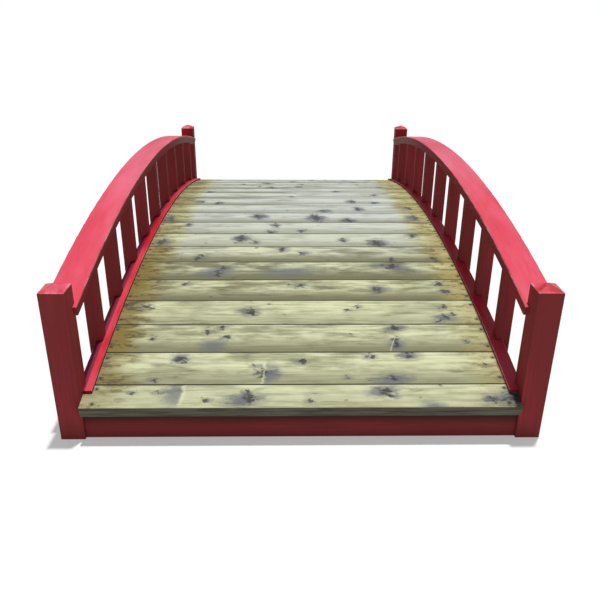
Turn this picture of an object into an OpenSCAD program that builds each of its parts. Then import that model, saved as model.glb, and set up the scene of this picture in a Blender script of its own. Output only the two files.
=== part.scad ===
// Arched garden bridge: plank deck on three arched stringers between four posts,
// with an arched handrail, balusters and a bottom rail on each side.
// Millimetres, +Z up, Y along the bridge, origin on the ground at mid-length.

/* [Overall] */
// Width over the outer faces of the posts
bridge_w = 1776; // [1200:2:2400]
// Length over the outer faces of the posts
bridge_l = 3328; // [2400:2:4200]

/* [Posts] */
// Side of the square post
post_s = 89; // [70:1:140]
// Height of the post's tip above the ground
post_h = 609; // [580:1:900]
// Rise of the post's pointed top
post_rise = 22; // [4:1:40]

/* [Deck] */
// Height of the deck's upper face at mid-length
deck_crest = 344; // [330:1:420]
// Radius of the deck's arch
deck_r = 7600; // [7000:10:12000]
// Thickness of a plank
plank_t = 42; // [25:1:50]
// Width of a full plank
plank_w = 184; // [90:1:240]
// Gap between neighbouring planks at their lower edges
plank_gap = 1.6; // [1:0.1:8]
// Rounding of the planks' upper long edges
plank_ease = 4; // [1:0.5:8]
// How far the end planks reach out past the posts
nosing = 30; // [10:1:60]

/* [Stringers and end boards] */
// Thickness of a stringer
stringer_t = 38; // [25:1:60]
// Depth of a stringer, measured along the arch's radius
stringer_d = 120; // [90:1:130]
// Distance from a post's inner face to the outer face of the side stringer
stringer_inset = 25; // [10:1:120]
// Thickness of an end board
end_board_t = 38; // [20:1:60]
// How far an end board is set back from the posts' outer faces
end_board_setback = 10; // [4:1:30]
// Height of the end boards and stringers above the ground
ground_gap = 2; // [1:1:30]

/* [Handrail] */
// Height of the handrail's upper face at mid-length
handrail_crest = 709; // [680:1:900]
// Radius of the handrail's upper face
handrail_r = 6485; // [6000:5:9000]
// Width of the handrail
handrail_w = 124; // [100:1:160]
// Thickness of the handrail
handrail_t = 22; // [16:1:45]
// How far the handrail reaches in past the posts' inner faces
handrail_overhang = 14; // [6:1:30]
// Length of the handrail's lap along the posts' inner faces
handrail_lap = 26; // [15:1:60]
// Rounding of the handrail's upper edges
handrail_ease = 5; // [2:0.5:10]
// Depth of the rail under the handrail
under_rail_d = 26; // [20:1:60]

/* [Balusters and bottom rail] */
// Number of balusters on each side
baluster_count = 9; // [5:1:12]
// Thickness of a baluster across the bridge
baluster_t = 56; // [40:1:64]
// Width of a baluster along the bridge
baluster_w = 46; // [36:1:110]
// Gap between a post and the baluster next to it
baluster_end_gap = 240; // [120:2:300]
// How far the balusters stand in past the posts' inner faces
baluster_stand_in = 8; // [0:1:12]
// Depth of the lap cut into a baluster's foot
baluster_lap = 29; // [12:1:36]
// Width of the bottom rail's upper face
bottom_rail_w = 54; // [45:1:64]
// Thickness of the bottom rail
bottom_rail_t = 12; // [9:1:45]
// Length of the bottom rail's lap along the posts' inner faces
bottom_rail_lap = 46; // [10:1:70]
// Rounding of the bottom rail's upper inner edge
bottom_rail_ease = 3; // [1:0.5:6]

/* [Fits] */
// Clearance between pieces that seat on each other
seat = 0.3; // [0.1:0.1:1]

/* [Hidden] */
$fn = 48;
arc_fn = 720;
half_l = bridge_l / 2;
post_in = bridge_w / 2 - post_s;
post_back = half_l - post_s;

// Arch of the deck
deck_z = deck_crest - deck_r;
plank_seat_r = deck_r - plank_t;
plank_step = (plank_w + plank_gap) / plank_seat_r * 180 / PI;
end_angle = asin((half_l + nosing) / deck_r);
post_angle = asin((post_back + seat) / deck_r);
full_planks = floor(2 * post_angle / plank_step);
joint_angle = full_planks * plank_step / 2;
end_plank_w = plank_seat_r * (end_angle - joint_angle) * PI / 180 - plank_gap;
end_plank_angle = (joint_angle + end_angle) / 2;
stringer_r = plank_seat_r - seat;
stringer_x = post_in - stringer_inset - stringer_t / 2;
stringer_end = half_l - end_board_setback - end_board_t - seat;

// Railings
handrail_z = handrail_crest - handrail_r;
handrail_x0 = post_in - handrail_overhang;
under_rail_r = handrail_r - handrail_t - seat;
baluster_top_r = under_rail_r - under_rail_d - seat;
baluster_x0 = post_in - baluster_stand_in;
lap_x = baluster_x0 + baluster_lap;
bottom_rail_r = deck_r + bottom_rail_t + seat + plank_w * plank_w / (8 * deck_r);
bottom_rail_x0 = lap_x - bottom_rail_w;
plank_len = 2 * lap_x;
end_plank_len = 2 * (post_in - seat);
baluster_pitch = (2 * (post_back - baluster_end_gap) - baluster_w) / (baluster_count - 1);

paint = [0.72, 0.13, 0.18];
timber = [0.72, 0.68, 0.48];

PLANKS = full_planks + 2;
function plank_name(i) = str("deck_plank_", i < 10 ? "0" : "", i);

// Height of the end plank's underside at a distance y from mid-length
function end_plank_under(y) =
    deck_z + (plank_seat_r - y * sin(end_plank_angle)) / cos(end_plank_angle);

// Outline with its two upper corners rounded, standing on y = 0
module eased_outline(w, t, r) {
    translate([-w / 2, 0]) square([w, t - r]);
    translate([-w / 2 + r, 0]) square([w - 2 * r, t]);
    for (s = [-1, 1]) translate([s * (w / 2 - r), t - r]) circle(r);
}

// Moves a shape drawn in the Y-Z plane to x0 and makes it w thick
module along_x(x0, w) {
    translate([x0, 0, 0]) rotate([90, 0, 90]) linear_extrude(w) children();
}

// Ring between two radii about a centre at height z
module ring(r_in, r_out, z) {
    translate([0, z]) difference() {
        circle(r_out, $fn = arc_fn);
        circle(r_in, $fn = arc_fn);
    }
}

// Part of a ring above a height and within a distance of mid-length
module arch(r_in, r_out, z, reach, floor_z) {
    intersection() {
        ring(r_in, r_out, z);
        translate([-reach, floor_z]) square([2 * reach, bridge_l]);
    }
}

module side(s) {
    mirror([s < 0 ? 1 : 0, 0, 0]) children();
}

// Outline of a post with its two top slopes
module post_outline() {
    h = post_s / 2;
    eave = post_h - post_rise;
    polygon([[-h, 0], [h, 0], [h, eave], [0, post_h], [-h, eave]]);
}

// Square post with a low pointed top
module post(sx, sy) {
    color(paint)
    translate([sx * (post_in + post_s / 2), sy * (half_l - post_s / 2), 0])
    intersection() {
        along_x(-post_s / 2, post_s) post_outline();
        translate([0, post_s / 2, 0]) rotate([90, 0, 0]) linear_extrude(post_s) post_outline();
    }
}

// Board between two posts, with its top planed to the end plank's slope
module end_board(sy) {
    y1 = half_l - end_board_setback;
    y0 = y1 - end_board_t;
    color(paint)
    mirror([0, sy < 0 ? 1 : 0, 0])
    along_x(-post_in + seat, 2 * (post_in - seat))
    polygon([[y0, ground_gap], [y1, ground_gap],
        [y1, end_plank_under(y1) - seat], [y0, end_plank_under(y0) - seat]]);
}

module stringer(x) {
    color(timber)
    along_x(x - stringer_t / 2, stringer_t)
    arch(stringer_r - stringer_d, stringer_r, deck_z, stringer_end, ground_gap);
}

// Flat board laid across the arch at an angle from mid-length
module plank(angle, len, w) {
    color(timber)
    translate([0, 0, deck_z])
    rotate([-angle, 0, 0])
    along_x(-len / 2, len)
    translate([0, plank_seat_r])
    eased_outline(w, plank_t, plank_ease);
}

module deck_plank(i) {
    if (i == 1) plank(-end_plank_angle, end_plank_len, end_plank_w);
    else if (i == full_planks + 2) plank(end_plank_angle, end_plank_len, end_plank_w);
    else if (i < full_planks + 2) plank((i - 1.5 - full_planks / 2) * plank_step, plank_len, plank_w);
}

// Space taken by the two posts of one side, from x to the outside
module post_space(x) {
    for (s = [-1, 1])
        translate([x, s > 0 ? post_back - seat : -half_l - post_s, 0])
        cube([bridge_w, 2 * post_s + seat, 2 * post_h]);
}

// Bent board with rounded upper edges, notched round the posts
module handrail(s) {
    reach = post_back + handrail_lap;
    sweep = asin(half_l / handrail_r);
    color(paint) side(s)
    difference() {
        intersection() {
            translate([0, 0, handrail_z])
            rotate([0, -90, 0])
            rotate([0, 0, -sweep])
            rotate_extrude(angle = 2 * sweep, $fn = arc_fn)
            translate([handrail_r - handrail_t, -handrail_x0 - handrail_w / 2])
            rotate(-90) mirror([1, 0]) eased_outline(handrail_w, handrail_t, handrail_ease);
            translate([0, -reach, 0]) cube([bridge_w, 2 * reach, 2 * handrail_crest]);
        }
        post_space(post_in - seat);
    }
}

module under_rail(s) {
    color(paint) side(s)
    along_x(baluster_x0, baluster_t)
    arch(under_rail_r - under_rail_d, under_rail_r, handrail_z, post_back - seat, 0);
}

// Rail on the plank ends, notched round the posts
module bottom_rail(s) {
    reach = post_back + bottom_rail_lap;
    sweep = asin(half_l / bottom_rail_r);
    color(paint) side(s)
    difference() {
        intersection() {
            translate([0, 0, deck_z])
            rotate([0, -90, 0])
            rotate([0, 0, -sweep])
            rotate_extrude(angle = 2 * sweep, $fn = arc_fn)
            translate([bottom_rail_r - bottom_rail_t, -bottom_rail_x0 - bottom_rail_w / 2])
            rotate(-90) mirror([1, 0]) eased_outline(bottom_rail_w, bottom_rail_t, bottom_rail_ease);
            translate([0, -reach, 0]) cube([bridge_w, 2 * reach, 2 * handrail_crest]);
        }
        post_space(post_in - seat);
    }
}

// Upright between the bottom rail and the rail under the handrail
module baluster_side(y, foot_r) {
    intersection() {
        translate([y - baluster_w / 2, 0]) square([baluster_w, handrail_crest]);
        difference() {
            translate([0, handrail_z]) circle(baluster_top_r, $fn = arc_fn);
            translate([0, deck_z]) circle(foot_r, $fn = arc_fn);
        }
    }
}

module balusters(s) {
    color(paint) side(s)
    for (i = [0:baluster_count - 1]) {
        y = (i - (baluster_count - 1) / 2) * baluster_pitch;
        along_x(baluster_x0, baluster_lap + seat) baluster_side(y, bottom_rail_r + seat);
        along_x(lap_x + seat, baluster_t - baluster_lap - seat) baluster_side(y, plank_seat_r);
    }
}

post(-1, -1);  // post_front_left
post(1, -1);  // post_front_right
post(-1, 1);  // post_back_left
post(1, 1);  // post_back_right
end_board(-1);  // end_board_front
end_board(1);  // end_board_back
stringer(-stringer_x);  // stringer_left
stringer(0);  // stringer_centre
stringer(stringer_x);  // stringer_right
handrail(-1);  // handrail_left
handrail(1);  // handrail_right
under_rail(-1);  // under_rail_left
under_rail(1);  // under_rail_right
bottom_rail(-1);  // bottom_rail_left
bottom_rail(1);  // bottom_rail_right
balusters(-1);  // balusters_left
balusters(1);  // balusters_right
for (i = [1:PLANKS]) deck_plank(i);
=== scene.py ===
"""Arched garden bridge: the finish of its paint and timber, its nails, and a plain studio."""
import math
import random

import bmesh
import bpy
from mathutils import Matrix, Vector


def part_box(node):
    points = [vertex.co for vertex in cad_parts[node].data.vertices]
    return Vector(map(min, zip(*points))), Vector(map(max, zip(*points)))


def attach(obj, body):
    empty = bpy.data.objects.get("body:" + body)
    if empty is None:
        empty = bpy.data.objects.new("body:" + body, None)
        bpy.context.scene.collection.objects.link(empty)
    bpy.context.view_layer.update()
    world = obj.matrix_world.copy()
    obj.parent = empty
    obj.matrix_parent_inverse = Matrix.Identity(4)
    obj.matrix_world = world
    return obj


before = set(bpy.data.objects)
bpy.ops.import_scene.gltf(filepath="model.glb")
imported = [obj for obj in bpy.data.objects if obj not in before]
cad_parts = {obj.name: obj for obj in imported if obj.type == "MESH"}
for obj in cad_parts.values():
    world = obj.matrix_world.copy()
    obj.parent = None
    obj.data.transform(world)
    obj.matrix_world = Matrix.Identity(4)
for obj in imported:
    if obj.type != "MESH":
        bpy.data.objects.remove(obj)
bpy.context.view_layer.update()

bl_info = {
    "name": "Arched Garden Bridge",
    "version": (1, 0, 0),
    "blender": (4, 5, 0),
    "location": "3D View > Sidebar > Bridge",
    "description": "Finishes the paint, the plank deck and the nails of an arched garden bridge",
    "category": "Object",
}

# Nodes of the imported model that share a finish
PLANKS = sorted(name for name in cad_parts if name.startswith("deck_plank_"))
POSTS = ("post_front_left", "post_front_right", "post_back_left", "post_back_right")
BALUSTERS = ("balusters_left", "balusters_right")
END_BOARDS = ("end_board_front", "end_board_back")
HANDRAILS = ("handrail_left", "handrail_right", "under_rail_left", "under_rail_right")
BOTTOM_RAILS = ("bottom_rail_left", "bottom_rail_right")
STRINGERS = ("stringer_left", "stringer_centre", "stringer_right")

# Knots of each plank: place along it, place across it and radius, in metres
KNOTS = {
    1: ((-.62, .02, .008), (-.53, .02, .009), (-.35, -.02, .009), (-.19, -.012, .019),
        (-.20, .022, .010), (.03, -.03, .009), (.31, .02, .017), (.33, 0, .010), (.70, -.02, .012),
        (.79, -.014, .034)),
    2: ((-.55, -.067, .011), (-.47, .05, .017), (-.18, .01, .009), (-.14, -.03, .020),
        (.01, .037, .015), (.177, -.059, .009), (.28, .062, .013), (.348, -.06, .012),
        (.426, .07, .014), (.715, .012, .010)),
    3: ((-.60, -.006, .009), (-.38, .041, .013), (-.325, .068, .010), (-.295, .006, .011),
        (.396, .066, .013), (.385, -.02, .014), (.383, -.055, .013), (.68, -.024, .009)),
    4: ((-.66, .041, .016), (-.206, 0, .020), (.206, .015, .010), (.251, .039, .010),
        (.63, .038, .013), (.63, -.04, .014), (.595, -.075, .012), (.66, -.02, .010)),
    5: ((-.525, .054, .013), (.005, .038, .017), (.354, .006, .018), (.647, .053, .016),
        (.668, -.016, .013)),
    6: ((-.368, .013, .017), (-.384, -.048, .013), (.452, .044, .020)),
    7: ((-.497, -.042, .016), (-.08, .055, .014), (.018, .011, .013), (.463, -.066, .012),
        (.683, -.066, .016)),
    8: ((-.713, -.03, .018), (-.30, .021, .022), (-.225, -.029, .012), (.239, 0, .012),
        (.414, -.049, .024), (.619, .066, .016)),
    9: ((-.612, .047, .010), (-.146, -.077, .014), (-.116, .044, .012), (.023, -.054, .010)),
    10: ((-.721, -.02, .016), (-.23, .021, .018), (.113, -.005, .024), (.296, -.062, .018),
         (.688, -.003, .018)),
    11: ((.161, -.069, .016), (.371, .001, .016), (.687, .015, .012)),
    12: ((-.588, -.007, .014), (-.493, -.045, .012), (.361, 0, .014), (.488, -.033, .012)),
    13: ((-.031, -.057, .012), (.52, .02, .010)),
    14: ((-.589, -.055, .012), (.271, -.045, .016)),
}
# Stains of each plank: place along and across, reach along and across, and the side on which a
# torn fibre ends the stain, or 0
STAINS = {
    1: ((-.455, .024, .060, .070, 1), (-.206, -.018, .080, .034, 0), (.300, .026, .070, .030, 0),
        (.483, -.058, .050, .028, 0), (.78, -.014, .045, .040, 0)),
    2: ((-.125, -.035, .050, .060, -1), (.426, .072, .050, .030, 0), (.345, -.07, .080, .034, 0),
        (-.475, .055, .035, .030, 0)),
    3: ((-.351, -.055, .060, .045, 0), (.385, -.045, .035, .050, -1), (.39, .066, .045, .018, 0)),
    4: ((-.22, 0, .045, .034, 0), (.62, -.05, .06, .026, 0)),
    5: ((.354, 0, .035, .035, 0),),
    6: ((-.40, -.02, .09, .05, 0), (-.05, -.02, .14, .05, 0), (.46, .04, .11, .035, 0)),
    8: ((-.30, .02, .04, .04, 0), (.42, -.045, .055, .035, 0)),
    10: ((-.23, .02, .05, .04, 0), (.113, 0, .06, .045, 0), (.30, -.06, .05, .03, 0)),
    11: ((.16, -.05, .05, .03, 0),),
}
# How dull each plank is, which also deepens the painted shade of its lower edge: 0 is fresh
DULL = {
    1: -.25, 2: .40, 3: .75, 4: .05, 5: 1.0, 6: 1.3, 7: .90, 8: .10, 9: .10, 10: .35, 11: .30,
    12: .45, 13: .60, 14: .60, 15: .85, 16: .50, 17: .80, 18: .60, 19: .60,
}
# How stained a plank's left and right ends are, and the same for the planks not listed
DAMP = {
    1: (.55, .25), 2: (.90, .45), 3: (1.3, .45), 4: (1.1, .50), 5: (1.2, .75), 6: (1.1, .85),
    7: (1.0, .75),
}
DAMP_ELSEWHERE = (.70, .70)
# How much a cupped plank's front edge shines
GLINT = {11: .25, 12: .50, 13: .65, 14: .5, 15: .4, 16: .35}
# The plank from which the sun has silvered the deck, and how many planks the change takes
SILVER_FROM, SILVER_OVER = 5, 5
# Radii of the knots that are drawn by chance, and where they may lie along and across a plank
CHANCE_RADII = (.008, .010, .012, .015)
CHANCE_ALONG, CHANCE_ACROSS = .72, .07

# How far up a face looks where a look of the paint begins, and where it is full: the painted light
# of the upper faces, the painted shade of the faces that look down, and the worn and highlit eased
# edges
LIT_TOP_FACE = (0.30, 0.90)
SHADED_UNDER_FACE = (-0.3, -0.8)
RUBBED_HIGHLIGHT_FROM, RUBBED_HIGHLIGHT_TO = (0.30, 0.50), (0.68, 0.84)
# How far up a face of a plank looks where it turns from edge to top, and from edge to underside
PLANK_TOP, PLANK_UNDERSIDE = (0.35, 0.75), (-0.35, -0.75)
# Heights in metres: the painted sheen on the crest of the handrails, and the splashed soil
CREST_SHEEN_HEIGHT, SPLASHED_HEIGHT = (0.66, 0.73), (0.0, 0.10)
# A post's worn edge, which also takes a painted highlight: how far its middle is above the eave,
# and how far from there it fades
EAVE_MIDDLE, EAVE_FADE = 0.0012, (0.0008, 0.0030)
# Depth of the painted shade below the top of an end board, under the first plank, and length over
# which the painted sheen thickens on a rail
NOSING_SHADE_DEPTH, SIDE_SHEEN_LENGTH = (0.034, 0.085), 0.9
# Painted shadow of the handrail on the left rail: how far behind the face of the balusters it lies,
# and how far it fades to each side
FOOT_BEHIND, FOOT_FADE = 0.001, (0.003, 0.002)
# How strongly each mark covers the paint under it
BRUSHED_SHARE, CREST_SHEEN_SHARE, EAVE_SHARE, GRAIN_SHARE = 0.20, 0.32, 0.7, 0.28
SOIL_SHARE, NOSING_SHADE_SHARE, SIDE_SHEEN_SHARE = 0.4, 0.85, 0.6

# Growth rings: angle of the wave for a metre, how flat they are at the pith, their drift, and
# how far a knot bends them
RING_WAVE, RING_FLATNESS, RING_DRIFT, RING_BEND = 300, 0.0012, 30, 3.4
# Rings on the sawn ends: angle of the wave for a metre, and depth of the pith below the plank
END_WAVE, PITH_DEPTH = 900, 0.07
# A knot's heart and smudge along and across, for a radius of 1, and the most they turn and shift
HEART_REACH, SMUDGE_REACH, HEART_TURN, SMUDGE_SHIFT = (1.2, 1.7), (3.6, 2.0), 1.2, 1.5
# How far a stain spreads past its reach, and the most it turns
STAIN_SPREAD, STAIN_TURN = 1.3, 0.3
# Distance from the middle of the deck over which the silver ends and the end stains begin
SILVER_ENDS, STAIN_BEGINS = (0.56, 0.66), (0.60, 0.72)
# Distances from a plank's front edge over which its grey lower edge, painted shade together with
# grime, and its glint end
LOWER_EDGE, GLINT_EDGE = (0.008, 0.105), (0.022, 0.042)
# Distances from a plank's edge over which seam dirt begins, and from a nail over which rust ends
SEAM_DIRT, RUST_REACH = (0.0085, 0.001), (0.003, 0.016)
# How strongly each mark covers the timber under it
STREAK_SHARE, FLECK_SHARE, TORN_SHARE, PIN_SHARE, CRACK_SHARE = 0.45, 0.75, 0.40, 0.75, 0.6
SEAM_SHARE, RUST_SHARE, WASH_SHARE, FRAME_SHADE_SHARE = 0.75, 0.65, 0.4, 0.6
# How much of the edges' weathering and painted shade an underside is spared
UNDERSIDE_SPARED = 0.55
# Depth in metres and strength of the bump of each finish
PAINT_BUMP, PLANK_BUMP, FRAME_BUMP = (0.0016, 0.35), (0.0022, 0.55), (0.002, 0.5)
STEEL_BUMP, FLOOR_BUMP = (0.0004, 0.4), (0.0002, 0.1)

# Sides of a nail's head, and the share of its proud height that is rounded
NAIL_SIDES, NAIL_ROUNDING = 14, 0.9
# A nail stays within this share of half the plank's width
NAIL_SHARE = 0.6

CAMERA_PLACE = (-0.047, -3.685, 1.469)
CAMERA_DIP, CAMERA_YAW, CAMERA_ROLL = (math.radians(turn) for turn in (24.12, -1.07, 0.39))
LENS_LENGTH, SENSOR_WIDTH, CAMERA_REACH = 39.43, 36, 400
SUN_FROM, SUN_SPREAD = (0.061, 0.10, 1), math.radians(2.0)
WHITE, FILL_TINT = (1, 1, 1), (0.84, 0.92, 1)
FLOOR_HALF, FLOOR_SQUARES = 120, 8


def chip(code):
    """Linear colour of a six-digit paint chip."""
    parts = [int(code[i:i + 2], 16) / 255 for i in (0, 2, 4)]
    return tuple(p / 12.92 if p <= 0.04045 else ((p + 0.055) / 1.055) ** 2.4 for p in parts)


def colour_prop(name, description, code):
    """A colour that a user may change, given as a paint chip."""
    return bpy.props.FloatVectorProperty(name=name, description=description, default=chip(code),
                                         subtype="COLOR", size=3, min=0, max=1)


def length_prop(name, description, default):
    """A length in metres that a user may change."""
    return bpy.props.FloatProperty(name=name, description=description, default=default,
                                   subtype="DISTANCE", unit="LENGTH", min=0)


def power_prop(name, description, default):
    """A strength of light that a user may change."""
    return bpy.props.FloatProperty(name=name, description=description, default=default,
                                   subtype="FACTOR", min=0, soft_max=5)


class BridgePaintSettings(bpy.types.PropertyGroup):
    """Colours of the painted rails and posts"""
    # Sunned red: upper faces painted lighter as lit from above
    lit_top_red: colour_prop("Sunned red", "Paint on the upper faces, faded by the sun", "EE6278")
    bright: colour_prop("Bright red", "Less faded paint on the upper faces", "E4485C")
    # Bleached red: painted sheen, the reflection of the light on the crest of the handrails
    crest_sheen: colour_prop("Bleached red", "Paint on the crest of the handrails", "F08EA8")
    fresh: colour_prop("Fresh red", "Paint that the handrails keep from the sun", "C81828")
    # Sheltered red: painted shade on the upright faces
    shaded_side_red: colour_prop("Sheltered red", "Paint on the upright faces", "843233")
    # Lower red: painted shade on the faces that look down, also the colour of the dark grain
    lower: colour_prop("Lower red", "Paint on the faces that look down", "501C1E")
    # Rubbed edge: wear along the eased edges, together with a painted highlight
    rubbed_highlight: colour_prop("Rubbed edge", "Paint rubbed thin along the eased edges", "F2B4B0")
    soil: colour_prop("Soil", "Soil splashed up from the ground", "4A3A2C")
    # Board grime: painted shade under the first plank, at the top of the end boards
    painted_shade: colour_prop("Board grime", "Grime on the end boards, under the first plank", "33261E")
    # Rail grime: painted shadow of the left handrail, beside the balusters on the left bottom rail
    rail_shadow: colour_prop("Rail grime", "Grime beside the balusters on the left rail", "5A1830")
    # Dust: painted sheen, reflected light on the sides of the handrails towards the back
    side_sheen: colour_prop("Dust", "Dust on the sides of the handrails towards the back", "967468")
    # Place along the bridge where the painted sheen on the handrails' sides begins
    sheen_from: length_prop("Dust from", "Place along the bridge where the dust begins", 0.3)
    post_rise: length_prop("Post rise", "Rise of the pointed tops of the posts", 0.022)


class BridgeDeckSettings(bpy.types.PropertyGroup):
    """Arch and colours of the deck"""
    crest: length_prop("Crest", "Height of the deck's upper face at mid-length", 0.344)
    radius: length_prop("Radius", "Radius of the deck's arch", 7.600)
    pale: colour_prop("Pale wood", "Early wood of a fresh plank", "DADCB0")
    ringed: colour_prop("Ring lines", "Late wood of the growth rings", "A6A67C")
    # Weathered wood: grey streaks and clouds, also painted shade with grime along a plank's lower
    # edge
    weathered_and_shade: colour_prop("Weathered wood", "Grey-green wood along a plank's lower edge", "726F4E")
    silver: colour_prop("Silvered wood", "Sun-bleached grey in the middle of the deck", "CBCFC7")
    resin: colour_prop("Resin stain", "Yellow-brown stain towards the right plank ends", "AE9C54")
    damp: colour_prop("Damp stain", "Olive-brown stain towards the left plank ends", "806E2C")
    smudge: colour_prop("Knot smudge", "Blue-grey stain that flares out from a knot", "62646A")
    knot: colour_prop("Knot", "Heart of a knot", "34322E")
    torn: colour_prop("Torn fibre", "Pale fibre torn up beside a stain", "DEDEC4")
    glint: colour_prop("Glint", "Shine on the front edge of a cupped plank", "EAECE6")
    # Plank edge: weathering with painted shade on the upright faces of the planks, also dirt in the
    # seams and flecks in the end stains
    edge: colour_prop("Plank edge", "Weathered edges and ends of the planks", "4E4938")
    dark_edge: colour_prop("Dark edge", "Dark fibres in the edges of the planks", "322E22")
    washed_edge: colour_prop("Washed edge", "Fibres that rain has washed in the edges", "6C6750")
    end_grain: colour_prop("End grain", "Rings on the sawn ends of the planks", "A89C74")


class BridgeNailSettings(bpy.types.PropertyGroup):
    """Nails of the deck"""
    head: length_prop("Head diameter", "Diameter of a nail's head", 0.0095)
    proud: length_prop("Proud", "Height of a nail's head above the plank", 0.0012)
    sunk: length_prop("Sunk", "Depth of a nail's head in the plank", 0.004)
    line: length_prop("Nail line", "Distance of the nails from the deck's centre line", 0.755)
    spread: length_prop("Spread", "Distance of a nail from the plank's middle", 0.058)
    steel: colour_prop("Steel", "Weathered steel of the nail heads", "3A3836")
    rust: colour_prop("Rust", "Rust on the nail heads", "5A3B28")


class BridgeStageSettings(bpy.types.PropertyGroup):
    """Floor, light and camera"""
    floor: colour_prop("Floor", "Plain pale floor", "CFCFCD")
    grit: colour_prop("Floor grit", "Faint clouds in the floor", "C6C6C2")
    glow: power_prop("Floor glow", "Light that the floor gives, which softens the shadows", 0.33)
    sun_power: power_prop("Sun", "Strength of the soft overhead light", 3.0)
    fill_power: power_prop("Fill", "Strength of the even light from all round", 0.24)


class Wire:
    """A socket of a recipe. Python's operators on it add Math nodes."""

    def __init__(self, recipe, socket):
        self.recipe, self.socket = recipe, socket

    def math(self, operation, *others):
        """A Math node on this socket and others."""
        return self.recipe.node("ShaderNodeMath", {"operation": operation}, (self, *others))

    def reflected(self, operation, other):
        """A Math node whose first value is the other."""
        return self.recipe.node("ShaderNodeMath", {"operation": operation}, (other, self))

    def __add__(self, other): return self.math("ADD", other)
    def __radd__(self, other): return self.math("ADD", other)
    def __sub__(self, other): return self.math("SUBTRACT", other)
    def __rsub__(self, other): return self.reflected("SUBTRACT", other)
    def __mul__(self, other): return self.math("MULTIPLY", other)
    def __rmul__(self, other): return self.math("MULTIPLY", other)
    def __truediv__(self, other): return self.math("DIVIDE", other)
    def __rtruediv__(self, other): return self.reflected("DIVIDE", other)
    def __pow__(self, other): return self.math("POWER", other)
    def __rpow__(self, other): return self.reflected("POWER", other)
    def __abs__(self): return self.math("ABSOLUTE")


class Recipe:
    """Shader nodes under construction, for a material or for the light all round."""

    def __init__(self, block):
        block.use_nodes = True
        self.block, self.tree = block, block.node_tree
        self.tree.nodes.clear()

    def node(self, kind, settings=None, sockets=(), output=0):
        """Any node: its settings first, then the values or links of its sockets."""
        made = self.tree.nodes.new(kind)
        for key, value in (settings or {}).items():
            setattr(made, key, value)
        pairs = sockets.items() if isinstance(sockets, dict) else enumerate(sockets)
        for key, value in pairs:
            if isinstance(value, Wire):
                self.tree.links.new(value.socket, made.inputs[key])
            elif hasattr(value, "__len__") and made.inputs[key].type == "RGBA":
                made.inputs[key].default_value = (*value, 1)
            else:
                made.inputs[key].default_value = value
        return Wire(self, made.outputs[output]) if made.outputs else None

    def mix(self, share, first, second):
        """Colour between two others: share 0 is the first."""
        return self.node("ShaderNodeMix", {"data_type": "RGBA", "clamp_factor": True},
                         {0: share, 6: first, 7: second}, 2)


class Finish(Recipe):
    """A procedural material under construction."""

    def __init__(self, name):
        super().__init__(bpy.data.materials.new(name))
        self.place = self.node("ShaderNodeTexCoord", output="Object")
        self.normal = self.node("ShaderNodeNewGeometry", output="Normal")

    def parts(self, vector):
        """The three parts of a vector."""
        made = self.node("ShaderNodeSeparateXYZ", None, (vector,)).socket.node
        return [Wire(self, out) for out in made.outputs]

    def vector(self, operation, *vectors, output=0):
        """A Vector Math node."""
        return self.node("ShaderNodeVectorMath", {"operation": operation}, vectors, output)

    def length(self, vector):
        """Length of a vector."""
        return self.vector("LENGTH", vector, output="Value")

    def mapped(self, vector, scale=(1, 1, 1), shift=(0, 0, 0), turn=(0, 0, 0)):
        """A place scaled, turned and shifted."""
        return self.node("ShaderNodeMapping", None,
                         {"Vector": vector, "Location": shift, "Rotation": turn, "Scale": scale})

    def local(self, vector, middle, reach, turn=0.0):
        """Place measured from a middle, in units of its reach along and across."""
        return self.node("ShaderNodeMapping", {"vector_type": "TEXTURE"}, {
            "Vector": vector, "Location": (*middle, 0), "Rotation": (0, 0, turn),
            "Scale": (*reach, 1000)})

    def noise(self, vector, scale, shift=(0, 0, 0), detail=3.0, roughness=0.55, output=0):
        """Noise of about 0 to 1, with its own scale on each axis."""
        return self.node("ShaderNodeTexNoise", {"noise_dimensions": "3D"}, {
            "Vector": self.mapped(vector, scale, shift), "Scale": 1.0, "Detail": detail,
            "Roughness": roughness}, output)

    def step(self, value, low, high):
        """Smooth step from 0 at low to 1 at high."""
        return self.node("ShaderNodeMapRange", {"interpolation_type": "SMOOTHSTEP"},
                         {"Value": value, "From Min": low, "From Max": high})

    def close(self, colour, roughness, height, depth, strength, **others):
        """Ends the material with a Principled shader and a bump."""
        bump = self.node("ShaderNodeBump", None,
                         {"Strength": strength, "Distance": depth, "Height": height})
        sockets = {"Base Color": colour, "Roughness": roughness, "Normal": bump}
        sockets.update({key.replace("_", " "): value for key, value in others.items()})
        shader = self.node("ShaderNodeBsdfPrincipled", None, sockets)
        self.node("ShaderNodeOutputMaterial", None, {"Surface": shader})
        return self.block


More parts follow.
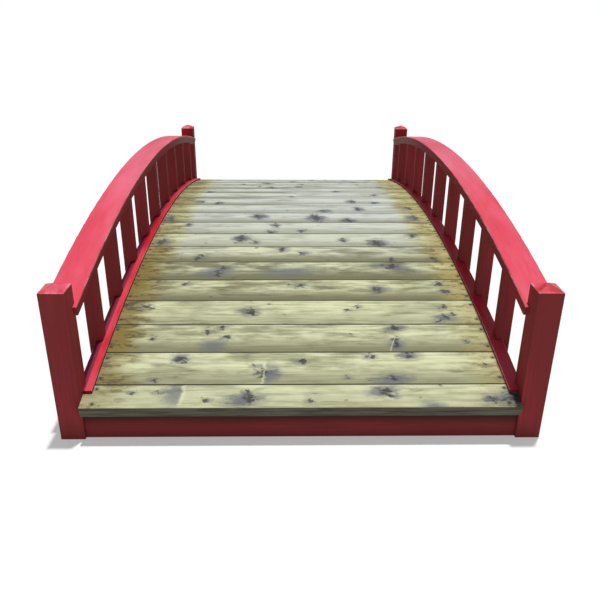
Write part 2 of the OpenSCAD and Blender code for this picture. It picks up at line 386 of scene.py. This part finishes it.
def red_paint(name, along, settings, upper, eave=None, shaded=None, foot=None, sheen_begins=None):
    """Brushed red paint over sawn timber whose grain runs along one axis.

    upper names the two reds of the upper faces, which are painted lighter as lit. eave is the
    height of a post's worn edge, which also takes a painted highlight, shaded the top of a board
    that takes painted shade under the first plank, foot the distance from mid-width beyond which
    painted shadow lies on the left rail, and the last argument the place along the bridge from
    which the sides take a painted sheen."""
    finish = Finish("red_paint_" + name)
    upward = finish.parts(finish.normal)[2]
    aside, onward, height = finish.parts(finish.place)

    def grained(with_grain, across_grain, *look):
        """Noise drawn out along the grain."""
        scale = [with_grain if axis == along else across_grain for axis in "XYZ"]
        return finish.noise(finish.place, scale, *look)

    brush = grained(5, 170, (0, 0, 0), 2)
    grain = grained(1.6, 42, (3, 5, 7), 4, 0.6)
    cloud = grained(1.2, 7, (11, 2, 9))
    speck = finish.noise(finish.place, (190, 190, 190), detail=1)
    # Upright faces painted darker as shade, and faces that look down painted darker still
    side = finish.mix(finish.step(upward, *SHADED_UNDER_FACE), settings.shaded_side_red, settings.lower)
    brushed = finish.step(cloud + (brush - 0.5) * 0.5, 0.45, 0.75)
    side = finish.mix(brushed * BRUSHED_SHARE, side, settings.bright)
    # Upper faces, painted lighter as lit from above
    faded = finish.step(cloud + (grain - 0.5) * 0.5, 0.34, 0.68)
    top = finish.mix(faded, getattr(settings, upper[0]), getattr(settings, upper[1]))
    # Painted sheen on the crest of the handrails
    crest_sheen = finish.step(height + (cloud - 0.5) * 0.08, *CREST_SHEEN_HEIGHT)
    top = finish.mix(crest_sheen * CREST_SHEEN_SHARE, top, settings.crest_sheen)
    # Painted light and shade: upper faces take the lit reds, all other faces the shaded ones
    lit = finish.step(upward, *LIT_TOP_FACE)
    colour = finish.mix(lit, side, top)
    # Wear along the eased edges, with a painted highlight where they catch the light
    worn = finish.step(grain + (speck - 0.5) * 0.3 + (cloud - 0.5) * 0.5, 0.42, 0.66)
    rubbed_highlight = finish.step(upward, *RUBBED_HIGHLIGHT_FROM) * (1 - finish.step(upward, *RUBBED_HIGHLIGHT_TO))
    if eave:
        from_eave = abs(height - eave - EAVE_MIDDLE)
        rubbed_highlight = rubbed_highlight + (1 - finish.step(from_eave, *EAVE_FADE)) * EAVE_SHARE
    colour = finish.mix(rubbed_highlight * (0.10 + worn * 0.5), colour, settings.rubbed_highlight)
    # Soil, painted shade under the first plank on the end boards, painted shadow of the handrail on
    # the left rail, and painted sheen on the sides of the handrails
    soil = (1 - finish.step(height, *SPLASHED_HEIGHT)) * SOIL_SHARE
    soil = soil * finish.step(cloud + (speck - 0.5) * 0.3, 0.38, 0.7)
    colour = finish.mix(soil, colour, settings.soil)
    # Painted shade under the nosing of the first plank
    if shaded:
        painted_shade = 1 - finish.step((shaded - height) + (cloud - 0.5) * 0.01, *NOSING_SHADE_DEPTH)
        colour = finish.mix(painted_shade * NOSING_SHADE_SHARE, colour, settings.painted_shade)
    # Painted shadow of the handrail on the outer part of the left bottom rail
    if foot:
        painted_shade = (speck - 0.5) * 0.004 - aside
        painted_shade = finish.step(painted_shade, foot - FOOT_FADE[0], foot + FOOT_FADE[1])
        colour = finish.mix(painted_shade * (0.62 + cloud * 0.3), colour, settings.rail_shadow)
    # Painted sheen on the sides of the handrails towards the back
    if sheen_begins:
        side_sheen = finish.step(onward + (cloud - 0.5) * 0.5, sheen_begins, sheen_begins + SIDE_SHEEN_LENGTH) * (1 - lit)
        colour = finish.mix(side_sheen * SIDE_SHEEN_SHARE, colour, settings.side_sheen)
    # Dark grain, drawn in the lower red that is also the painted shade of the downward faces
    colour = finish.mix(finish.step(grain, 0.52, 0.80) * GRAIN_SHARE, colour, settings.lower)
    relief = grain * 0.7 + brush * 0.3
    rough = 0.72 - lit * 0.22 + (cloud - 0.5) * 0.25 + (brush - 0.5) * 0.15
    return finish.close(colour, rough, relief, *PAINT_BUMP, Specular_IOR_Level=0.06,
                        Coat_Weight=lit * (0.45 + cloud * 0.3), Coat_Roughness=0.32)


def knot_marks(finish, place, warped, knots, soft, tatter, tall, lean):
    """Hearts of the knots, the smudges round them and how far they bend the rings."""
    heart, halo, bend = 0, 0, 0
    for along, across, radius in knots:
        turn = lean.uniform(-HEART_TURN, HEART_TURN) / tall ** 2
        reach = (radius * HEART_REACH[0], radius * HEART_REACH[1] * tall)
        near = finish.length(finish.local(warped, (along, across), reach, turn))
        heart = (1 - finish.step(near + (tatter - 0.5) * 4.2, 0.35, 1.0)) + heart
        beside = along + radius * lean.uniform(-SMUDGE_SHIFT, SMUDGE_SHIFT)
        reach = (radius * SMUDGE_REACH[0], radius * SMUDGE_REACH[1] * tall)
        wide = finish.length(finish.local(place, (beside, across), reach))
        wide = wide + (soft - 0.5) * 1.6 + (tatter - 0.5) * 1.2
        halo = (1 - finish.step(wide, 0.10, 1.05)) + halo
        bend = (1 - finish.step(near, 0.0, 3.2)) + bend
    return heart, halo, bend


def stain_marks(finish, place, stains, soft, tatter, lean):
    """Stains, and the pale torn fibres that end some of them."""
    smear, sliver = 0, 0
    for along, across, reach, width, torn in stains:
        turn = lean.uniform(-STAIN_TURN, STAIN_TURN)
        spread = (reach * STAIN_SPREAD, width * STAIN_SPREAD)
        spot = finish.local(place, (along, across), spread, turn)
        ragged = finish.length(spot) + (soft - 0.5) * 1.4 + (tatter - 0.5) * 0.8
        fade = 1 - finish.step(ragged, 0.20, 1.15)
        if torn:
            tear = finish.parts(spot)[0] * torn + (soft - 0.5) * 0.5
            fibre = 1 - finish.step(abs(tear - 0.28), 0.02, 0.09)
            sliver = fibre * finish.step(fade, 0.1, 0.6) + sliver
            fade = fade * (1 - finish.step(tear, 0.08, 0.24))
        smear = fade + smear
    return smear, sliver


def timber(finish, place, half, seed, knots, stains, settings, silver, stain, dull, tall=1.0):
    """Colour, roughness and height of a softwood board that lies along the first axis of place.

    half is half the board's width, silver how much the sun has silvered it, stain how stained its
    two ends are, dull how grey it is and tall how far its knots are drawn out across it."""
    along, across, _ = finish.parts(place)
    wobble = finish.noise(place, (38, 70, 70), (seed, 0, 0), 4, 0.62, "Color")
    warped = finish.vector("MULTIPLY_ADD", wobble, (0.050, 0.040, 0),
                           finish.vector("SUBTRACT", place, (0.025, 0.020, 0)))
    fibre = finish.noise(place, (5, 190, 190), (seed, 4, 8), 3, 0.6)
    soft = finish.noise(place, (9, 30, 30), (seed * 4, 1, 6), 4, 0.6)
    broad = finish.noise(place, (3.4, 12, 12), (seed * 5, 3, 7))
    tatter = finish.noise(place, (40, 60, 60), (seed, 9, 2), 3, 0.65)
    drift = finish.noise(place, (1.1, 5, 5), (seed * 3, 1, 2), 2)
    streak = finish.noise(place, (2.6, 62, 62), (seed * 2, 6, 1), 4, 0.66)
    lean = random.Random(seed)
    heart, halo, bend = knot_marks(finish, place, warped, knots, soft, tatter, tall, lean)
    smear, sliver = stain_marks(finish, place, stains, soft, tatter, lean)
    # Growth rings and clouds of early and late wood
    rings = (across ** 2 + RING_FLATNESS) ** 0.5 * RING_WAVE + drift * RING_DRIFT + bend * RING_BEND
    line = finish.step(rings.math("SINE"), 0.0, 0.95)
    clouds = finish.step(soft, 0.36, 0.64) * 0.32 + finish.step(broad, 0.34, 0.66) * 0.42
    tone = line * 0.30 + (fibre - 0.5) * 0.9 + clouds
    colour = finish.mix(tone, settings.pale, settings.ringed)
    # Silver in the middle of the deck
    middle = 1 - finish.step(abs(along) + (soft - 0.5) * 0.10, *SILVER_ENDS)
    patch = finish.step(broad + (soft - 0.5) * 0.6, 0.30 - 0.18 * silver, 0.54 - 0.14 * silver)
    colour = finish.mix(patch * middle * silver, colour, settings.silver)
    # Grey streaks, a grey lower edge that is painted shade together with grime, and grey clouds
    colour = finish.mix(finish.step(streak, 0.54, 0.70) * STREAK_SHARE, colour, settings.weathered_and_shade)
    lower = across + (broad - 0.5) * 0.12 + (soft - 0.5) * 0.05
    lower = 1 - finish.step(lower, LOWER_EDGE[0] - half, LOWER_EDGE[1] - half)
    colour = finish.mix(lower * (0.42 + dull * 0.60), colour, settings.weathered_and_shade)
    grey = broad * 0.5 + soft * 0.35 + streak * 0.15 + dull * 0.05
    grey = finish.step(grey, 0.46, 0.66)
    colour = finish.mix(grey * (0.32 + dull * 0.48), colour, settings.weathered_and_shade)
    # Stained ends
    right = finish.step(along, -0.1, 0.1)
    ends = abs(along) + (soft - 0.5) * 0.16 + (broad - 0.5) * 0.10
    ends = finish.step(ends, *STAIN_BEGINS) * (stain[0] + right * (stain[1] - stain[0]))
    colour = finish.mix(ends * (0.55 + soft * 0.6), colour,
                        finish.mix(right, settings.damp, settings.resin))
    flecks = finish.step(soft * 0.6 + tatter * 0.4, 0.51, 0.57)
    colour = finish.mix(ends * flecks * FLECK_SHARE, colour, settings.edge)
    # Knots, stains and torn fibres
    colour = finish.mix(smear * (0.55 + soft * 0.5), colour, settings.smudge)
    colour = finish.mix(halo * (0.44 + 0.18 * tall), colour, settings.smudge)
    dark = heart * (0.60 + soft * 0.5) * (1.18 - 0.18 * tall)
    colour = finish.mix(dark, colour, settings.knot)
    colour = finish.mix(sliver * TORN_SHARE, colour, settings.torn)
    # Pin knots and drying cracks
    pin = finish.node("ShaderNodeTexVoronoi", {"voronoi_dimensions": "3D"}, {
        "Vector": finish.mapped(warped, (14, 30, 0), (seed, seed, 0)), "Scale": 1.0})
    size = finish.parts(Wire(finish, pin.socket.node.outputs["Color"]))[0]
    size = 0.01 + finish.step(size, 0.42, 1.0) * 0.21
    pins = 1 - finish.step(pin / size, 0.35, 1.0)
    colour = finish.mix(pins * PIN_SHARE, colour, settings.knot)
    crack = finish.noise(place, (1.4, 46, 46), (seed * 7, 2, 5), 2)
    crack = (1 - finish.step(abs(crack - 0.5), 0.0, 0.010)) * finish.step(broad, 0.50, 0.62)
    colour = finish.mix(crack * CRACK_SHARE, colour, settings.knot)
    rough = 0.66 + (fibre - 0.5) * 0.3 + line * 0.06
    relief = fibre * 0.30 + soft * 0.5 + line * 0.12 - crack * 1.2 - heart * 0.25
    return colour, rough, relief


def plank_lie(name, deck):
    """Height of the arch's centre, turn of a plank about it and half the plank's width."""
    low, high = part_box(name)
    middle = (low + high) / 2
    centre = deck.crest - deck.radius
    angle = math.atan2(middle.y, middle.z - centre)
    return centre, angle, (high.y - low.y) / 2 / math.cos(angle)


def plank_knots(number):
    """Knots of a plank: its own, or a few drawn by chance."""
    chance = random.Random(number * 17)
    return KNOTS.get(number) or [
        (chance.uniform(-CHANCE_ALONG, CHANCE_ALONG),
         chance.uniform(-CHANCE_ACROSS, CHANCE_ACROSS), chance.choice(CHANCE_RADII))
        for _ in range(chance.randint(4, 6))]


def plank_timber(number, name, settings, nails):
    """Weathered softwood for one plank, with its own grain, knots, stains and end grain."""
    finish = Finish(f"deck_timber_{number:02d}")
    centre, angle, half = plank_lie(name, settings)
    shift = (0, centre * math.sin(angle), -centre * math.cos(angle) - settings.radius)
    place = finish.mapped(finish.place, shift=shift, turn=(angle, 0, 0))
    far = min(max((number - SILVER_FROM) / SILVER_OVER, 0), 1)
    colour, rough, relief = timber(
        finish, place, half, number * 3.7, plank_knots(number), STAINS.get(number, ()), settings,
        silver=0.05 + 0.92 * far, stain=DAMP.get(number, DAMP_ELSEWHERE), dull=DULL[number],
        tall=1 + 1.3 * far)
    along, across, _ = finish.parts(place)
    out, _, up = finish.parts(finish.normal)
    if number in GLINT:
        cup = finish.noise(place, (2.2, 9, 9), (number * 2, 5, 1), 2)
        shine = 1 - finish.step(across, GLINT_EDGE[0] - half, GLINT_EDGE[1] - half)
        shine = shine * finish.step(along + cup * 1.2, 0.30, 0.62)
        shine = shine * (1 - finish.step(abs(along), *SILVER_ENDS))
        colour = finish.mix(shine * GLINT[number], colour, settings.glint)
    # Dirt in the seams and rust round the nails
    seam = finish.step(abs(across), half - SEAM_DIRT[0], half - SEAM_DIRT[1])
    colour = finish.mix(seam * SEAM_SHARE, colour, settings.edge)
    from_nail = finish.length(finish.node("ShaderNodeCombineXYZ", None, (
        abs(along) - nails.line, abs(across) - min(nails.spread, half * NAIL_SHARE), 0)))
    rust = 1 - finish.step(from_nail, *RUST_REACH)
    colour = finish.mix(rust * RUST_SHARE, colour, settings.knot)
    # Weathered edges with painted shade on the upright faces, an underside that takes half of it,
    # and rings on the sawn ends
    fibre = finish.noise(place, (9, 9, 160), (number, 0, 3))
    wash = finish.noise(place, (3.6, 2, 55), (number * 3, 7, 2), 4, 0.62)
    weathered_and_shade = finish.mix(finish.step(fibre, 0.40, 0.60), settings.edge, settings.dark_edge)
    washed = finish.step(wash, 0.46, 0.62) * WASH_SHARE
    weathered_and_shade = finish.mix(washed, weathered_and_shade, settings.washed_edge)
    side = 1 - finish.step(up, *PLANK_TOP)
    below = finish.step(up, *PLANK_UNDERSIDE)
    colour = finish.mix(side * (1 - below * UNDERSIDE_SPARED), colour, weathered_and_shade)
    pith = (0, 0.02 * math.sin(number), PITH_DEPTH)
    from_pith = finish.length(finish.mapped(place, (0, 1, 1), pith))
    arcs = finish.step((from_pith * END_WAVE + fibre * 3).math("SINE"), -0.2, 0.8)
    sawn = finish.step(abs(out), 0.6, 0.8) * (0.25 + arcs * 0.5)
    colour = finish.mix(sawn, colour, settings.end_grain)
    return finish.close(colour, rough, relief, *PLANK_BUMP, IOR=1.45)


def frame_timber(settings):
    """Sawn softwood of the stringers, under the deck."""
    finish = Finish("frame_timber_sawn")
    place = finish.mapped(finish.place, turn=(0, 0, math.radians(-90)))
    colour, rough, relief = timber(
        finish, place, 0.06, 41.3, ((.4, 0, .012), (-.7, 0, .014)), (), settings,
        silver=0.2, stain=(.3, .3), dull=0.3)
    shade = finish.noise(finish.place, (6, 1.2, 18))
    colour = finish.mix(finish.step(shade, 0.35, 0.75) * FRAME_SHADE_SHARE, colour, settings.edge)
    return finish.close(colour, rough, relief, *FRAME_BUMP)


def nail_steel(settings):
    """Weathered steel with rust in its hollows."""
    finish = Finish("nail_steel")
    spots = finish.noise(finish.place, (420, 420, 420), detail=2)
    colour = finish.mix(finish.step(spots, 0.42, 0.62), settings.steel, settings.rust)
    return finish.close(colour, 0.55 + (spots - 0.5) * 0.3, spots, *STEEL_BUMP, Metallic=0.6)


def floor_finish(settings):
    """Plain pale floor that glows a little, so that its shadows are soft."""
    finish = Finish("floor_pale")
    grit = finish.noise(finish.place, (8, 8, 8))
    colour = finish.mix(grit * 0.05, settings.floor, settings.grit)
    return finish.close(colour, 0.9, grit, *FLOOR_BUMP,
                        Emission_Color=WHITE, Emission_Strength=settings.glow)


def studio_light(settings):
    """Even light from all round, which the camera sees as plain white."""
    studio = Recipe(bpy.data.worlds.new("studio"))
    seen = studio.node("ShaderNodeLightPath", output="Is Camera Ray")
    light = studio.node("ShaderNodeBackground", None, {
        "Color": studio.mix(seen, FILL_TINT, WHITE),
        "Strength": settings.fill_power + seen * (1 - settings.fill_power)})
    studio.node("ShaderNodeOutputWorld", None, {"Surface": light})
    return studio.block


def dress(name, material):
    """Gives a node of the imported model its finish."""
    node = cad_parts[name]
    node.data.materials.clear()
    node.data.materials.append(material)


def new_object(name, data, scene):
    """A new object of the scene, at the origin."""
    made = bpy.data.objects.new(name, data)
    scene.collection.objects.link(made)
    return made


def new_mesh(name, shape, material):
    """The mesh of a finished shape."""
    mesh = bpy.data.meshes.new(name)
    shape.to_mesh(mesh)
    shape.free()
    mesh.materials.append(material)
    return mesh


class BRIDGE_OT_paint(bpy.types.Operator):
    """Paints the posts, rails, balusters and end boards"""
    bl_idname = "bridge.paint"
    bl_label = "Paint Rails and Posts"

    def execute(self, context):
        paint = context.scene.bridge_paint
        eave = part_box(POSTS[0])[1].z - paint.post_rise
        board_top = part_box(END_BOARDS[0])[1].z
        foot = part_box(BALUSTERS[1])[0].x + FOOT_BEHIND
        faded, kept = ("bright", "lit_top_red"), ("fresh", "bright")
        jobs = (
            ("posts", "Z", ("fresh", "lit_top_red"), {"eave": eave}, POSTS),
            ("balusters", "Z", faded, {}, BALUSTERS),
            ("handrails", "Y", faded, {"sheen_begins": paint.sheen_from}, HANDRAILS),
            ("bottom_rails", "Y", kept, {"foot": foot}, BOTTOM_RAILS),
            ("end_boards", "X", faded, {"shaded": board_top}, END_BOARDS),
        )
        for job, along, upper, wear, names in jobs:
            material = red_paint(job, along, paint, upper, **wear)
            for name in names:
                dress(name, material)
        return {"FINISHED"}


class BRIDGE_OT_deck(bpy.types.Operator):
    """Gives every plank of the deck its own timber, grey with weather, with painted shade on its
    edges
    """
    bl_idname = "bridge.deck"
    bl_label = "Finish Deck Planks"

    def execute(self, context):
        scene = context.scene
        for number, name in enumerate(PLANKS, 1):
            dress(name, plank_timber(number, name, scene.bridge_deck, scene.bridge_nails))
        return {"FINISHED"}


class BRIDGE_OT_stringers(bpy.types.Operator):
    """Gives the stringers under the deck their sawn timber"""
    bl_idname = "bridge.stringers"
    bl_label = "Finish Stringers"

    def execute(self, context):
        material = frame_timber(context.scene.bridge_deck)
        for name in STRINGERS:
            dress(name, material)
        return {"FINISHED"}


class BRIDGE_OT_nails(bpy.types.Operator):
    """Drives two domed nails into each end of every plank"""
    bl_idname = "bridge.nails"
    bl_label = "Drive Deck Nails"

    def execute(self, context):
        settings, deck = context.scene.bridge_nails, context.scene.bridge_deck
        rise = deck.radius + (settings.proud - settings.sunk) / 2
        shape = bmesh.new()
        for name in PLANKS:
            centre, angle, half = plank_lie(name, deck)
            spread = min(settings.spread, half * NAIL_SHARE)
            turn = Matrix.Translation((0, 0, centre)) @ Matrix.Rotation(-angle, 4, "X")
            for x in (-settings.line, settings.line):
                for v in (-spread, spread):
                    self.drive(shape, settings, turn, Vector((x, v, rise)))
        bmesh.ops.recalc_face_normals(shape, faces=shape.faces)
        mesh = new_mesh("deck_nails", shape, nail_steel(settings))
        nails = new_object("deck_nails", mesh, context.scene)
        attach(nails, "root")
        return {"FINISHED"}

    def drive(self, shape, settings, turn, spot):
        """Adds one nail's head with a rounded rim."""
        made = bmesh.ops.create_cone(
            shape, cap_ends=True, segments=NAIL_SIDES, radius1=settings.head / 2,
            radius2=settings.head / 2, depth=settings.sunk + settings.proud,
            matrix=turn @ Matrix.Translation(spot))
        middle, axis = turn @ spot, turn.to_3x3() @ Vector((0, 0, 1))
        rim = [edge for edge in shape.edges if all(
            end in made["verts"] and (end.co - middle).dot(axis) > 0 for end in edge.verts)]
        bmesh.ops.bevel(
            shape, geom=rim, offset=settings.proud * NAIL_ROUNDING, offset_type="OFFSET",
            segments=2, profile=0.5, affect="EDGES", material=-1, clamp_overlap=True)


class BRIDGE_OT_stage(bpy.types.Operator):
    """Lays the floor, hangs the lights and sets the camera"""
    bl_idname = "bridge.stage"
    bl_label = "Set Stage"

    def execute(self, context):
        settings, scene = context.scene.bridge_stage, context.scene
        shape = bmesh.new()
        bmesh.ops.create_grid(
            shape, x_segments=FLOOR_SQUARES, y_segments=FLOOR_SQUARES, size=FLOOR_HALF)
        floor = new_object("floor", new_mesh("floor", shape, floor_finish(settings)), scene)
        sun = bpy.data.lights.new("overhead", "SUN")
        sun.energy, sun.angle = settings.sun_power, SUN_SPREAD
        lamp = new_object("overhead", sun, scene)
        lamp.rotation_euler = Vector(SUN_FROM).to_track_quat("Z", "Y").to_euler()
        scene.world = studio_light(settings)
        lens = bpy.data.cameras.new("camera")
        lens.sensor_width, lens.lens, lens.clip_end = SENSOR_WIDTH, LENS_LENGTH, CAMERA_REACH
        camera = new_object("camera", lens, scene)
        camera.matrix_world = (
            Matrix.Translation(CAMERA_PLACE) @ Matrix.Rotation(CAMERA_YAW, 4, "Z")
            @ Matrix.Rotation(math.pi / 2 - CAMERA_DIP, 4, "X")
            @ Matrix.Rotation(CAMERA_ROLL, 4, "Z"))
        scene.camera = camera
        scene.view_settings.view_transform = "Standard"
        return {"FINISHED"}


class BRIDGE_PT_panel(bpy.types.Panel):
    """Sizes, colours and steps of the bridge"""
    bl_idname = "BRIDGE_PT_panel"
    bl_label = "Arched Garden Bridge"
    bl_space_type = "VIEW_3D"
    bl_region_type = "UI"
    bl_category = "Bridge"

    def draw(self, context):
        for group in SETTINGS:
            settings = getattr(context.scene, group)
            for name in settings.bl_rna.properties.keys():
                if name not in ("rna_type", "name"):
                    self.layout.prop(settings, name)
        for step in STEPS:
            self.layout.operator(step.bl_idname)


SETTINGS = {
    "bridge_paint": BridgePaintSettings,
    "bridge_deck": BridgeDeckSettings,
    "bridge_nails": BridgeNailSettings,
    "bridge_stage": BridgeStageSettings,
}
STEPS = (BRIDGE_OT_stage, BRIDGE_OT_paint, BRIDGE_OT_deck, BRIDGE_OT_stringers, BRIDGE_OT_nails)


def register():
    """Adds the settings, the steps and the panel to Blender."""
    for made in (*SETTINGS.values(), *STEPS, BRIDGE_PT_panel):
        bpy.utils.register_class(made)
    for name, group in SETTINGS.items():
        setattr(bpy.types.Scene, name, bpy.props.PointerProperty(type=group))


def unregister():
    """Takes the settings, the steps and the panel away again."""
    for name in SETTINGS:
        delattr(bpy.types.Scene, name)
    for made in reversed((*SETTINGS.values(), *STEPS, BRIDGE_PT_panel)):
        bpy.utils.unregister_class(made)


def main():
    """Runs the steps in order."""
    register()
    bpy.ops.bridge.stage()
    bpy.ops.bridge.paint()
    bpy.ops.bridge.deck()
    bpy.ops.bridge.stringers()
    bpy.ops.bridge.nails()


if __name__ == "__main__":
    main()
